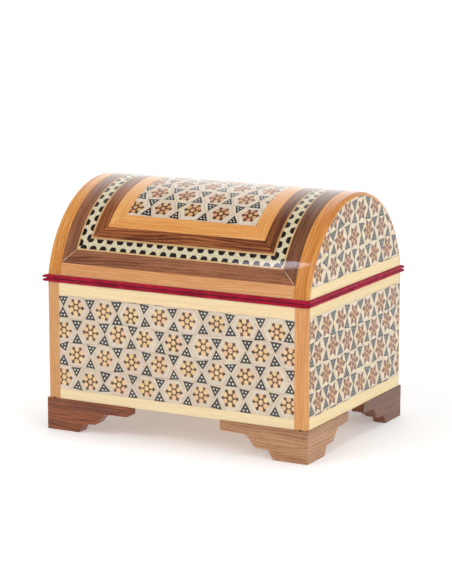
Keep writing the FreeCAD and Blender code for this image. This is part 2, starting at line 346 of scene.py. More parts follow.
class Wiring:
    """Adds nodes to one tree and joins them."""

    def __init__(self, tree):
        self.tree = tree

    def add(self, kind, inputs=None, **settings):
        made = self.tree.nodes.new("ShaderNode" + kind)
        for name, value in settings.items():
            setattr(made, name, value)
        for name, value in (inputs or {}).items():
            self.feed(made.inputs[name], value)
        return made

    def feed(self, socket, value):
        if isinstance(value, bpy.types.NodeSocket):
            self.tree.links.new(value, socket)
        else:
            socket.default_value = value

    def math(self, operation, *values, clamp=False):
        made = self.add("Math", dict(enumerate(values)), operation=operation, use_clamp=clamp)
        return made.outputs[0]

    def plus(self, *values, clamp=False):
        return self.math("ADD", *values, clamp=clamp)

    def minus(self, *values):
        return self.math("SUBTRACT", *values)

    def times(self, *values):
        return self.math("MULTIPLY", *values)

    def vector(self, operation, *values):
        made = self.add("VectorMath", operation=operation)
        for socket, value in zip(made.inputs, values):
            self.feed(socket, value)
        return made.outputs[0]

    def split(self, vector):
        return self.add("SeparateXYZ", {0: vector}).outputs

    def join(self, x, y, z):
        return self.add("CombineXYZ", {0: x, 1: y, 2: z}).outputs[0]

    def mix(self, share, first, second, blend="MIX"):
        """Mix of two colours; the node's colour sockets are 6 and 7, and its colour output 2."""
        made = self.add("Mix", data_type="RGBA", blend_type=blend)
        for socket, value in ((0, share), (6, first), (7, second)):
            self.feed(made.inputs[socket], value)
        return made.outputs[2]

    def shaded(self, colour, shade):
        """A colour made darker or lighter by a number."""
        return self.mix(1.0, colour, self.join(shade, shade, shade), "MULTIPLY")

    def blend(self, share, first, second):
        """Mix of two numbers."""
        return self.add("Mix", {0: share, 2: first, 3: second}, data_type="FLOAT").outputs[0]

    def noise(self, place, size, detail=2.0, roughness=0.5, output="Fac"):
        """Noise whose blotches are about a size across, in the place's units."""
        inputs = {"Vector": place, "Scale": 1 / size, "Detail": detail, "Roughness": roughness}
        return self.add("TexNoise", inputs).outputs[output]

    def spread(self, value, low, high, out_low=0.0, out_high=1.0):
        """Stretches a value's range, held at both ends."""
        inputs = {0: value, 1: low, 2: high, 3: out_low, 4: out_high}
        return self.add("MapRange", inputs, clamp=True).outputs[0]

    def ramp(self, value, colours):
        """Colours evenly spaced from 0 to 1."""
        made = self.add("ValToRGB", {0: value})
        band = made.color_ramp
        while len(band.elements) < len(colours):
            band.elements.new(0.5)
        for i, (element, colour) in enumerate(zip(band.elements, colours)):
            element.position = i / (len(colours) - 1)
            element.color = colour
        return made.outputs[0]

    def group(self, tree, **inputs):
        made = self.add("Group", node_tree=tree)
        for name, value in inputs.items():
            self.feed(made.inputs[name.replace("_", " ")], value)
        return made.outputs

    def tone(self):
        """The piece's own number from 0 to 1."""
        return self.add("Attribute", attribute_name="tone").outputs["Fac"]

    def place(self):
        """Place on the piece, in millimetres."""
        rest = self.add("TexCoord").outputs["Object"]
        return self.add("VectorMath", {0: rest, "Scale": 1 / MM}, operation="SCALE").outputs[0]

    def bump(self, height, strength, depth):
        """Normal from a height between 0 and 1 over a depth in millimetres."""
        return self.add("Bump", {"Height": height, "Strength": strength, "Distance": depth * MM}).outputs[0]


SOCKETS = {"colour": "NodeSocketColor", "number": "NodeSocketFloat", "vector": "NodeSocketVector"}


def effect(name, inputs, outputs):
    """A new node group: its tree, its wiring, the sockets given to it and the sockets it puts out."""
    tree = bpy.data.node_groups.new(name, "ShaderNodeTree")
    for socket, (kind, value) in inputs.items():
        tree.interface.new_socket(socket, in_out="INPUT", socket_type=SOCKETS[kind]).default_value = value
    for socket, kind in outputs.items():
        tree.interface.new_socket(socket, in_out="OUTPUT", socket_type=SOCKETS[kind])
    given = tree.nodes.new("NodeGroupInput").outputs
    out = tree.nodes.new("NodeGroupOutput").inputs
    return tree, Wiring(tree), given, out


BLACK = (0.0, 0.0, 0.0, 1.0)
WHITE = (1.0, 1.0, 1.0, 1.0)


def make_wood_grain():
    """Figure, rings, streaks, fibres and open pores of sawn wood; the grain runs along Place's first axis."""
    tree, wiring, given, out = effect(
        "wood_grain",
        {
            "Place": ("vector", (0, 0, 0)),
            "Pale": ("colour", WHITE),
            "Deep": ("colour", BLACK),
            "Pore": ("colour", BLACK),
            "Figure": ("number", 7.0),
            "Ring": ("number", 1.6),
            "Contrast": ("number", 1.0),
            "Pores": ("number", 0.3),
        },
        {"Colour": "colour", "Height": "number", "Dullness": "number"},
    )
    place = given["Place"]
    slow = wiring.vector("MULTIPLY", place, (0.02, 0.1, 0.1))
    drift = wiring.vector("SUBTRACT", wiring.noise(slow, 1.0, 1.0, output="Color"), (0.5, 0.5, 0.5))
    drift = wiring.vector("MULTIPLY", drift, (0.0, 6.0, 6.0))
    run = wiring.vector("ADD", wiring.vector("MULTIPLY", place, (0.04, 1.0, 1.0)), drift)
    _, y, z = wiring.split(run)
    figure = wiring.noise(wiring.vector("DIVIDE", run, given["Figure"]), 1.0, 2.0)
    turns = wiring.math("DIVIDE", wiring.plus(y, wiring.times(z, 0.6)), given["Ring"])
    turns = wiring.plus(wiring.times(turns, 6.283), wiring.times(figure, 9.0))
    rings = wiring.spread(wiring.math("SINE", turns), -1.0, 1.0)
    streaks = wiring.noise(wiring.vector("DIVIDE", run, given["Ring"]), 0.55, 3.0, 0.65)
    fibres = wiring.noise(wiring.vector("MULTIPLY", place, (0.05, 1.0, 1.0)), 0.16, 2.0)
    dashes = wiring.noise(wiring.vector("MULTIPLY", place, (0.16, 1.0, 1.0)), 0.26, 1.0)
    dashes = wiring.times(wiring.spread(dashes, 0.6, 0.7), given["Pores"])

    share = wiring.plus(wiring.times(figure, 0.5), wiring.times(streaks, 0.42))
    share = wiring.minus(wiring.plus(share, wiring.times(rings, 0.1)), 0.51)
    share = wiring.times(wiring.times(share, 4.2), given["Contrast"])
    share = wiring.plus(share, 0.5, clamp=True)
    colour = wiring.mix(share, given["Pale"], given["Deep"])
    colour = wiring.shaded(colour, wiring.spread(fibres, 0.25, 0.75, 0.9, 1.07))
    wiring.feed(out["Colour"], wiring.mix(dashes, colour, given["Pore"]))
    height = wiring.plus(wiring.times(fibres, 0.6), wiring.times(streaks, 0.4))
    wiring.feed(out["Height"], wiring.minus(height, dashes))
    wiring.feed(out["Dullness"], wiring.plus(wiring.times(fibres, 0.4), dashes))
    return tree


def make_edge_wear():
    """Mask of rubbed edges, broken up so that it is never an even line."""
    tree, wiring, given, out = effect(
        "edge_wear",
        {"Place": ("vector", (0, 0, 0)), "Reach": ("number", 0.5)},
        {"Mask": "number"},
    )
    reach = wiring.times(given["Reach"], MM)
    rounded = wiring.add("Bevel", {"Radius": reach}, samples=4).outputs[0]
    true = wiring.add("NewGeometry").outputs["Normal"]
    meeting = wiring.add("VectorMath", {0: rounded, 1: true}, operation="DOT_PRODUCT").outputs["Value"]
    edge = wiring.spread(meeting, 0.995, 0.9)
    patches = wiring.spread(wiring.noise(given["Place"], 2.2, 3.0), 0.35, 0.65)
    wiring.feed(out["Mask"], wiring.times(edge, patches))
    return tree


def make_vault_place():
    """Place on the lid's curve: round it, along the box and into the wood, with a mask of the end pieces."""
    tree, wiring, given, out = effect(
        "vault_place",
        {"Place": ("vector", (0, 0, 0))},
        {"Round": "number", "Along": "number", "Deep": "number", "End piece": "number"},
    )
    half_length, half_girth = half_size(FRAME_NODES[0])
    x, y, z = wiring.split(given["Place"])
    up = wiring.minus(z, VAULT_Z)
    round_it = wiring.times(wiring.math("ARCTAN2", y, up), VAULT_R)
    wiring.feed(out["Round"], round_it)
    wiring.feed(out["Along"], x)
    squares = wiring.plus(wiring.times(y, y), wiring.times(up, up))
    reach = wiring.math("SQRT", squares)
    wiring.feed(out["Deep"], wiring.minus(reach, VAULT_R))
    lead = wiring.minus(wiring.math("ABSOLUTE", round_it), wiring.math("ABSOLUTE", x))
    wiring.feed(out["End piece"], wiring.math("LESS_THAN", lead, half_girth - half_length))
    return tree


def make_mottle():
    """Small uneven patches and specks of bone, shell and dyed wood in an inlay."""
    tree, wiring, given, out = effect(
        "inlay_mottle",
        {"Place": ("vector", (0, 0, 0)), "Size": ("number", 1.2), "Colour": ("colour", WHITE),
         "Stain": ("colour", BLACK), "Amount": ("number", 0.3)},
        {"Colour": "colour", "Height": "number"},
    )
    place = wiring.vector("DIVIDE", given["Place"], given["Size"])
    patches = wiring.spread(wiring.noise(place, 1.0, 4.0, 0.6), 0.35, 0.7)
    grit = wiring.noise(place, 0.12, 2.0)
    amount = wiring.times(patches, given["Amount"])
    colour = wiring.mix(amount, given["Colour"], given["Stain"])
    wiring.feed(out["Colour"], wiring.shaded(colour, wiring.spread(grit, 0.3, 0.7, 0.93, 1.05)))
    wiring.feed(out["Height"], wiring.plus(wiring.times(grit, 0.4), patches))
    return tree


def make_pile():
    """Velvet pile: fine tufts over broad patches that have been brushed one way or the other."""
    tree, wiring, given, out = effect(
        "velvet_pile",
        {"Place": ("vector", (0, 0, 0)), "Deep": ("colour", BLACK), "Bright": ("colour", WHITE)},
        {"Colour": "colour", "Height": "number"},
    )
    brushed = wiring.spread(wiring.noise(given["Place"], 5.0, 3.0, 0.6), 0.35, 0.65)
    tufts = wiring.noise(given["Place"], 0.22, 3.0, 0.7)
    share = wiring.plus(wiring.times(brushed, 0.34), wiring.times(tufts, 0.8))
    wiring.feed(out["Colour"], wiring.mix(wiring.spread(share, 0.25, 0.85), given["Deep"], given["Bright"]))
    wiring.feed(out["Height"], wiring.plus(tufts, wiring.times(brushed, 0.3)))
    return tree


WOOD_GRAIN = make_wood_grain()
EDGE_WEAR = make_edge_wear()
VAULT_PLACE = make_vault_place()
INLAY_MOTTLE = make_mottle()
VELVET_PILE = make_pile()


# --- Materials ---


def start_material(name, **constants):
    """A material with a bare Principled shader whose unlinked sockets hold the given values."""
    material = bpy.data.materials.new(name)
    material.use_nodes = True
    tree = material.node_tree
    tree.nodes.clear()
    wiring = Wiring(tree)
    shader = wiring.add("BsdfPrincipled")
    for socket, value in constants.items():
        shader.inputs[socket.replace("_", " ")].default_value = value
    wiring.add("OutputMaterial", {"Surface": shader.outputs[0]})
    return material, wiring, shader.inputs


def fill_in(wiring, shader, colour, roughness, normal):
    """Feeds the three sockets that every material here has linked."""
    wiring.feed(shader["Base Color"], colour)
    wiring.feed(shader["Roughness"], roughness)
    wiring.feed(shader["Normal"], normal)


LACQUER = {"Coat_Weight": 0.85, "Coat_Roughness": 0.07, "Coat_IOR": 1.5, "IOR": 1.45}
THIN_LACQUER = {"Coat_Weight": 0.5, "Coat_Roughness": 0.16, "Coat_IOR": 1.45, "IOR": 1.4}
SATIN = {"Coat_Weight": 0.35, "Coat_Roughness": 0.25, "Coat_IOR": 1.5, "IOR": 1.45}
PIECE_SHIFT = 91.0      # moves the grain on from piece to piece
TILE_SHIFT = 53.0
RUNS = {"x": (0, 2, 1), "y": (1, 2, 0), "z": (2, 0, 1)}    # which axis the grain follows


def grain_place(wiring, run):
    """Place with the grain along the first axis, moved on by the piece's own number."""
    place = wiring.place()
    if run in RUNS:
        parts = wiring.split(place)
        turned_place = wiring.join(*(parts[i] for i in RUNS[run]))
    else:
        bent = wiring.group(VAULT_PLACE, Place=place)
        turned_place = wiring.join(bent["Round"], bent["Along"], bent["Deep"])
        if run == "frame":
            straight = wiring.join(bent["Along"], bent["Round"], bent["Deep"])
            turned_place = wiring.mix(bent["End piece"], straight, turned_place)
    return wiring.vector("ADD", turned_place, wiring.times(wiring.tone(), PIECE_SHIFT)), place


def wood(name, run, colours, figure=7.0, ring=1.6, contrast=1.0, pores=0.3, worn=0.0, tint=0.12,
         rough=0.34, film=LACQUER):
    """Sawn wood under lacquer: its pale, deep and pore colours; worn is how pale its rubbed edges are."""
    pale, deep, pore = colours
    material, wiring, shader = start_material(name, **film)
    run_place, place = grain_place(wiring, run)
    grain = wiring.group(WOOD_GRAIN, Place=run_place, Pale=pale, Deep=deep, Pore=pore, Figure=figure,
                         Ring=ring, Contrast=contrast, Pores=pores)
    shade = wiring.spread(wiring.tone(), 0.0, 1.0, 1.0 - tint, 1.0 + tint)
    colour = wiring.shaded(grain["Colour"], shade)
    if worn:
        edge = wiring.group(EDGE_WEAR, Place=place, Reach=0.5)["Mask"]
        colour = wiring.mix(wiring.times(edge, worn), colour, pale)
    roughness = wiring.plus(wiring.times(grain["Dullness"], 0.2), rough)
    fill_in(wiring, shader, colour, roughness, wiring.bump(grain["Height"], 0.35, 0.03))
    return material


TILE_ROUGHNESS = 0.32


def inlay(name, colours, stain, amount=0.3, size=1.3):
    """One kind of inlay tile; every tile takes its own colour from the row."""
    material, wiring, shader = start_material(name, **LACQUER)
    own = wiring.ramp(wiring.tone(), colours)
    place = wiring.vector("ADD", wiring.place(), wiring.times(wiring.tone(), TILE_SHIFT))
    mottle = wiring.group(INLAY_MOTTLE, Place=place, Size=size, Colour=own, Stain=stain, Amount=amount)
    roughness = wiring.plus(wiring.times(mottle["Height"], 0.1), TILE_ROUGHNESS)
    fill_in(wiring, shader, mottle["Colour"], roughness, wiring.bump(mottle["Height"], 0.25, 0.02))
    return material


def velvet(name, deep, bright, tint):
    """Pile fabric between two colours, with a tinted sheen at a grazing look."""
    material, wiring, shader = start_material(
        name, Sheen_Weight=1.0, Sheen_Roughness=0.4, Sheen_Tint=tint, Specular_IOR_Level=0.15)
    pile = wiring.group(VELVET_PILE, Place=wiring.place(), Deep=deep, Bright=bright)
    roughness = wiring.spread(pile["Height"], 0.2, 1.0, 0.95, 0.75)
    fill_in(wiring, shader, pile["Colour"], roughness, wiring.bump(pile["Height"], 0.8, 0.15))
    return material


def brass(name):
    """Brushed brass, browner where fingers don't rub it."""
    material, wiring, shader = start_material(name)
    place = wiring.place()
    brushed = wiring.noise(wiring.vector("MULTIPLY", place, (0.08, 1.0, 1.0)), 0.12, 3.0, 0.7)
    tarnish = wiring.spread(wiring.noise(place, 2.5, 4.0, 0.65), 0.5, 0.75)
    colour = wiring.mix(tarnish, linear(222, 184, 104), linear(172, 130, 68))
    edge = wiring.group(EDGE_WEAR, Place=place, Reach=0.25)["Mask"]
    colour = wiring.mix(edge, colour, linear(244, 214, 140))
    wiring.feed(shader["Metallic"], wiring.spread(tarnish, 0.0, 1.0, 1.0, 0.85))
    roughness = wiring.spread(wiring.plus(tarnish, brushed), 0.3, 1.6, 0.2, 0.5)
    fill_in(wiring, shader, colour, roughness, wiring.bump(brushed, 0.3, 0.02))
    return material


# Each wood's pale and deep figure and its open pores.
LIGHT_WOOD = palette((240, 180, 110), (216, 138, 62), (176, 104, 52))
LIGHT_LOOK = {"contrast": 0.75, "pores": 0.35}
CREAM_LOOK = {"figure": 12.0, "ring": 2.4, "pores": 0.15, "tint": 0.03}
POST_WOOD = wood("light_wood_z", "z", LIGHT_WOOD, worn=0.3, **LIGHT_LOOK)
BAND_WOOD = wood("band_wood", "bent", palette((236, 172, 96), (198, 118, 44), (150, 84, 34)),
                 figure=6.0, contrast=0.85, worn=0.3, pores=0.4)
FRAME_WOOD = wood("light_wood_frame", "frame", LIGHT_WOOD, **LIGHT_LOOK)
EDGE_STRIP_WOOD = wood("lid_strip_wood", "x", palette((236, 178, 124), (212, 142, 84), (176, 104, 52)),
                       contrast=0.85, pores=0.4)
CREAM_X = wood("cream_wood_x", "x", palette((255, 232, 184), (248, 216, 162), (230, 190, 132)), **CREAM_LOOK)
CREAM_Y = wood("cream_wood_y", "y", palette((255, 232, 172), (250, 216, 146), (230, 190, 128)), **CREAM_LOOK)
OUTER_WALNUT = wood("outer_walnut", "frame", palette((168, 108, 72), (108, 60, 36), (66, 34, 20)),
                    figure=5.0, ring=1.1, contrast=1.2, pores=0.6, tint=0.4)
INNER_WALNUT = wood("inner_walnut", "frame", palette((178, 104, 54), (94, 42, 18), (56, 24, 12)),
                    figure=4.0, ring=1.3, contrast=1.4, pores=0.5, tint=0.4)
LINE_WOOD = wood("line_wood", "frame", palette((222, 184, 130), (202, 156, 100), (170, 120, 72)), pores=0.2)
CARCASS = wood("carcass_wood", "x", palette((214, 172, 124), (190, 144, 96), (150, 106, 66)),
               film=SATIN, pores=0.5, rough=0.55)
JOINT = wood("joint_glue", "x", palette((104, 76, 54), (70, 48, 34), (48, 32, 24)), rough=0.5)
FILLER = wood("mitre_filler", "x", palette((238, 214, 186), (220, 190, 158), (200, 165, 130)))

FOOT_WOODS = {          # each bracket foot is cut from its own piece
    "front_left": palette((168, 90, 40), (104, 48, 18), (88, 50, 30)),
    "front_right": palette((214, 160, 112), (166, 112, 72), (88, 50, 30)),
    "back_left": palette((178, 112, 66), (126, 72, 40), (88, 50, 30)),
    "back_right": palette((142, 82, 48), (92, 48, 26), (88, 50, 30)),
}


def foot_wood(place, run):
    return wood("foot_wood_%s_%s" % (place, run), run, FOOT_WOODS[place], figure=6.0, ring=1.4,
                contrast=1.15, pores=0.4, worn=0.5, rough=0.4, film=THIN_LACQUER)


# The colours that each kind of inlay tile comes in, and what stains it.
BONE = inlay("bone_tile", palette((228, 211, 182), (236, 221, 200), (230, 207, 187), (222, 212, 186)),
             linear(202, 170, 134), amount=0.4)
BONE_END = inlay("bone_tile_end", palette((240, 219, 184), (248, 230, 198), (240, 214, 178)),
                 linear(218, 190, 150), amount=0.35)
DARK_STAR = inlay("dark_star_wood", palette((88, 50, 12), (114, 66, 20), (74, 42, 12)),
                  linear(50, 28, 10), size=0.8)
RED_STAR = inlay("red_star_wood", palette((104, 52, 30), (122, 62, 36), (88, 44, 22)),
                 linear(66, 32, 18), size=0.8)
BROWN_STAR = inlay("brown_star_wood", palette((114, 54, 10), (138, 72, 20), (108, 50, 18)),
                   linear(84, 38, 8), size=0.8)
DARK_TRIANGLE = inlay("dark_triangle_wood", palette((32, 26, 16), (44, 38, 28), (28, 20, 16)),
                      linear(66, 56, 42), size=0.9)
GREY_TRIANGLE = inlay("grey_triangle_wood", palette((36, 40, 30), (50, 54, 42), (32, 30, 26)),
                      linear(70, 70, 56), size=0.9)
WHITE_DOT = inlay("white_dot", palette((240, 234, 220), (250, 244, 232)), linear(214, 200, 176), size=0.6)
GREY_DOT = inlay("grey_dot", palette((176, 178, 162), (196, 194, 176)), linear(140, 140, 124), size=0.6)
FLOWER_FRONT = inlay("flower_wood_front", palette((242, 204, 142), (248, 216, 160), (244, 192, 152),
                     (238, 208, 144)), linear(218, 160, 96), size=0.7)
FLOWER_TOP = inlay("flower_wood_top", palette((226, 176, 112), (236, 196, 140), (222, 160, 122),
                   (228, 184, 116)), linear(180, 116, 64), size=0.7)
FLOWER_END = inlay("flower_wood_end", palette((226, 172, 108), (234, 186, 126), (218, 158, 104),
                   (214, 172, 100)), linear(172, 110, 54), size=0.7)
ZIGZAG_GROUND = inlay("zigzag_ground", palette((220, 206, 162), (232, 222, 190), (208, 196, 154)),
                      linear(182, 156, 118), amount=0.5, size=0.9)
ZIGZAG_TOOTH = inlay("zigzag_tooth", palette((24, 14, 8), (16, 12, 6), (34, 20, 18)),
                     linear(50, 34, 22), size=0.8)
FRONT_FINISHES = [BONE, DARK_STAR, FLOWER_FRONT, DARK_TRIANGLE, WHITE_DOT, JOINT]
TOP_FINISHES = [BONE, RED_STAR, FLOWER_TOP, DARK_TRIANGLE, WHITE_DOT, JOINT]
END_FINISHES = [BONE_END, BROWN_STAR, FLOWER_END, GREY_TRIANGLE, GREY_DOT, JOINT]

RED_VELVET = velvet("red_velvet", linear(108, 0, 18), linear(204, 18, 60), (1.0, 0.3, 0.42, 1.0))
BRASS = brass("aged_brass")


# --- Mosaic ---

HEX_REACH = 6.25        # centre of a hexagon to its left and right corners
ROW_PITCH = 10.7        # one row of hexagons to the next, whose flats meet
BACKING_TOP = -0.16     # heights over the wood's face
GROUND_TOP = -0.05
STAR_TOP = -0.03
DOT_TOP = -0.01
FLOWER_TOP_HEIGHT = 0.0
TILE_DEPTH = 0.3
TILE_EASE = 0.035
FLUSH_EASE = 0.02       # of what is let in flush: backing sheets and filler
TILE_GAP = 0.02
HEX_JOINT = 0.05        # half the glue line between two hexagons
SECTOR_JOINT = 0.008
DISC_SIDES = 12
TRIANGLE_MIDDLE = 3.42  # from the row's line to the middle of a dark triangle
DOT_RING = 0.95

# Each flower: how far its star reaches, its notches and discs, and the triangles beside it with their dots.
FLOWER_ON_FRONT = {"reach": 4.45, "notch": 3.25, "disc": 1.14, "middle": 1.08, "ring": 2.68,
                   "dot": 0.43, "triangle": 5.6}
FLOWER_ON_TOP = {"reach": 4.65, "notch": 3.3, "disc": 1.06, "middle": 0.98, "ring": 2.7,
                 "dot": 0.4, "triangle": 5.7}
FLOWER_ON_END = {"reach": 5.6, "notch": 3.25, "disc": 0.86, "middle": 0.8, "ring": 2.35,
                 "dot": 0.34, "triangle": 6.0}
BONE_TILE, STAR_TILE, DISC_TILE, TRIANGLE_TILE, DOT_TILE, BACKING = range(6)


DRIFT_SPAN = 11.0
DRIFT_MOST = 1.1


def hand_laid(u, v, seed):
    """Slow drift of hand-laid work away from the exact pattern."""
    at = Vector((u / DRIFT_SPAN, v / DRIFT_SPAN, seed))
    return u + DRIFT_MOST * noise.noise(at), v + DRIFT_MOST * noise.noise(at + Vector((0, 0, 31.7)))


class Mosaic:
    """One panel of the star-and-flower pattern, laid inside a border."""

    def __init__(self, surface, border, seed, sizes):
        self.layer = Layer(surface)
        self.border = drawn_in(border, TILE_GAP)
        self.layer.lay(border, BACKING_TOP, VENEER + BACKING_TOP, BACKING, FLUSH_EASE, draw.random())
        self.seed = seed
        self.sizes = sizes

    def tile(self, outline, top, kind, tone=None):
        inside = trimmed(outline, self.border)
        if len(inside) > 2:
            tone = draw.random() if tone is None else tone
            self.layer.lay(inside, top, top - GROUND_TOP + TILE_DEPTH, kind, TILE_EASE, tone)

    def drifted(self, outline):
        return [hand_laid(u, v, self.seed) for u, v in outline]

    def hexagon(self, u, v):
        half = ROW_PITCH / 2
        outline = [(HEX_REACH, 0), (HEX_REACH / 2, half), (-HEX_REACH / 2, half)]
        outline += [(-a, -b) for a, b in outline]
        outline = drawn_in([(u + a, v + b) for a, b in outline], HEX_JOINT)
        tone = draw.random()
        for a, b in edges(outline):
            sector = drawn_in([(u, v), a, b], SECTOR_JOINT)
            self.tile(self.drifted(sector), GROUND_TOP, BONE_TILE, 0.7 * tone + 0.3 * draw.random())
        self.flower(*hand_laid(u, v, self.seed))

    def flower(self, u, v):
        place = (u + draw.uniform(-0.3, 0.3), v + draw.uniform(-0.3, 0.3))
        turn = draw.uniform(-7, 7)
        size = draw.uniform(0.97, 1.03)
        notch = polygon((0, 0), self.sizes["notch"], 6, 30)
        for k in range(6):
            tip = polygon((0, 0), self.sizes["reach"] * draw.uniform(0.94, 1.04), 6)[k]
            kite = [(0, 0), notch[k - 1], tip, notch[k]]
            self.tile(turned(kite, turn, size, place), STAR_TOP, STAR_TILE)
        discs = [(0, 0)] + polygon((0, 0), self.sizes["ring"], 6, 30)
        for i, (du, dv) in enumerate(discs):
            middle = (du + draw.uniform(-0.08, 0.08), dv + draw.uniform(-0.08, 0.08))
            radius = self.sizes["disc" if i else "middle"] * draw.uniform(0.92, 1.04)
            disc = polygon(middle, radius, DISC_SIDES, draw.uniform(0, 30))
            self.tile(turned(disc, turn, size, place), FLOWER_TOP_HEIGHT, DISC_TILE)

    def gap(self, u, v, pitch, way):
        """The ground between two hexagons of a row, above or below the row's line, with its dark triangle."""
        half = ROW_PITCH / 2
        cell = [(HEX_REACH, 0), (pitch - HEX_REACH, 0), (pitch - HEX_REACH / 2, half), (HEX_REACH / 2, half)]
        cell = [(u + a, v + way * b) for a, b in cell][::way]
        self.tile(self.drifted(drawn_in(cell, TILE_GAP)), GROUND_TOP, BONE_TILE)
        middle = hand_laid(u + pitch / 2, v + way * TRIANGLE_MIDDLE, self.seed)
        place = (middle[0] + draw.uniform(-0.25, 0.25), middle[1] + draw.uniform(-0.15, 0.15))
        odd = draw.random() < 0.08
        turn = draw.uniform(-7, 7) * (3 if odd else 1)
        size = draw.uniform(0.92, 1.06)
        point = -90 * way
        triangle = polygon((0, 0), self.sizes["triangle"] / math.sqrt(3), 3, point)
        triangle = [(a * (1.2 if odd else 1), b * (0.85 if odd else 1)) for a, b in triangle]
        self.tile(turned(triangle, turn, size, place), STAR_TOP, TRIANGLE_TILE)
        for du, dv in polygon((0, 0), DOT_RING, 3, point):
            dot = polygon((du, dv), self.sizes["dot"] * draw.uniform(0.85, 1.1), 8)
            self.tile(turned(dot, turn, size, place), DOT_TOP, DOT_TILE)

    def rows(self, starts, first_v, pitch):
        """Lays rows upwards from a height; starts holds where each alternate row begins."""
        low_u, high_u = min(u for u, _ in self.border), max(u for u, _ in self.border)
        low_v, high_v = min(v for _, v in self.border), max(v for _, v in self.border)
        row = math.floor((low_v - first_v) / ROW_PITCH - 0.5)
        while first_v + (row - 0.5) * ROW_PITCH < high_v:
            v = first_v + row * ROW_PITCH
            start = starts[row % 2]
            place = math.floor((low_u - start) / pitch) - 1
            while start + (place - 0.5) * pitch < high_u:
                u = start + place * pitch
                self.hexagon(u, v)
                for way in (1, -1):
                    self.gap(u, v, pitch, way)
                place += 1
            row += 1

    def finish(self, name, finishes):
        piece = self.layer.finish(name + "_inlay", finishes)
        settle(piece, "mosaic_inlay", name)


def panel_border(name, across):
    """Rectangle of a panel in its face's own directions; across is the axis that u follows, 0 or 1."""
    low, high = corners(name)
    return rectangle(low[across], high[across], low.z, high.z)


ARCH_STEPS = 40


def lid_end_border(name):
    """The lid end's panel: level below, and round the vault's centre line above."""
    low, high = corners(name)
    reach = high.z - VAULT_Z
    foot = math.acos((low.z - VAULT_Z) / reach)
    angles = [foot - 2 * foot * i / ARCH_STEPS for i in range(ARCH_STEPS + 1)]
    return [(reach * math.sin(a), VAULT_Z + reach * math.cos(a)) for a in angles]


FRONT_PITCH = 14.15     # one flower to the next in a row
END_PITCH = 14.0
TOP_PITCH = 14.4
FRONT_PANELS = (("mosaic_front", FRONT, 1.0), ("mosaic_back", BACK, 2.0))       # node, face and seed
END_PANELS = (("mosaic_right", RIGHT, 3.0), ("mosaic_left", LEFT, 4.0))
LID_END_PANELS = (("mosaic_lid_right", RIGHT, 5.0), ("mosaic_lid_left", LEFT, 6.0))


def lay_mosaics():
    for name, surface, seed in FRONT_PANELS:
        panel = Mosaic(surface, panel_border(name, 0), seed, FLOWER_ON_FRONT)
        panel.rows((0.0, FRONT_PITCH / 2), 24.6, FRONT_PITCH)
        panel.finish(name, FRONT_FINISHES)
    for name, surface, seed in END_PANELS:
        panel = Mosaic(surface, panel_border(name, 1), seed, FLOWER_ON_END)
        panel.rows((-9.4, -2.4), 25.6, END_PITCH)
        panel.finish(name, END_FINISHES)
    for name, surface, seed in LID_END_PANELS:
        panel = Mosaic(surface, lid_end_border(name), seed, FLOWER_ON_END)
        panel.rows((4.0, -3.0), 81.3, END_PITCH)
        panel.finish(name, END_FINISHES)
    half_length, half_girth = half_size("mosaic_lid_top")
    border = rectangle(-half_length, half_length, -half_girth, half_girth)
    panel = Mosaic(VAULT, border, 7.0, FLOWER_ON_TOP)
    panel.rows((-1.6, -8.8), ROW_PITCH / 2 - half_girth + 0.1, TOP_PITCH)
    panel.finish("mosaic_lid_top", TOP_FINISHES)


# --- Veneers round the vault ---

VENEER_EASE = 0.1
LINE_EASE = 0.04
WALNUT_TONES = (0.6, 0.12, 0.5, 0.4)    # front, right, back and left strips, from dark to pale


def frame_strips(outer, inner):
    """Outlines of the four mitred strips between two half sizes: front, right, back, left."""
    (ox, ov), (ix, iv) = outer, inner
    front = [(-ox, -ov), (ox, -ov), (ix, -iv), (-ix, -iv)]
    right = [(ox, -ov), (ox, ov), (ix, iv), (ix, -iv)]
    return [front, right, [(-u, -v) for u, v in front], [(-u, -v) for u, v in right]]


def lay_veneer(name, outlines, slot, material, ease=VENEER_EASE, extra=()):
    layer = Layer(VAULT)
    for i, outline in enumerate(outlines):
        tone = WALNUT_TONES[i] if slot == "walnut" else draw.random()
        layer.lay(outline, 0.0, VENEER, 0, ease, tone)
    for outline, top, depth in extra:
        layer.lay(outline, top, depth, 1, FLUSH_EASE, draw.random())
    piece = layer.finish(name + "_veneer", [material, FILLER] if extra else [material])
    settle(piece, slot, name)


FILLER_WIDTH = 0.32
FILLER_TOP = 0.015
FILLER_DEPTH = 0.2


def mitre_filler(outer, inner):
    """Thin pale lines of filler along the four mitres, a little uneven and narrower inwards."""
    lines = []
    for su, sv in ((1, -1), (1, 1), (-1, 1), (-1, -1)):
        a, b = (su * outer[0], sv * outer[1]), (su * inner[0], sv * inner[1])
        start, end = draw.uniform(0.02, 0.12), draw.uniform(0.85, 0.97)
        half = FILLER_WIDTH / 2 / math.dist(a, b)
        du, dv = (b[1] - a[1]) * half, (a[0] - b[0]) * half
        (pu, pv), (qu, qv) = between(a, b, start), between(a, b, end)
        outline = [(pu - du, pv - dv), (pu + du, pv + dv)]
        outline += [(qu + du / 2, qv + dv / 2), (qu - du / 2, qv - dv / 2)]
        if side_of(*outline[:3]) < 0:
            outline.reverse()
        lines.append((outline, FILLER_TOP, FILLER_DEPTH))
    return lines


TOOTH_PITCH = 5.1
TOOTH_FOOT = 3.6
TOOTH_TIP = 1.7
TOOTH_HEIGHT = 1.85


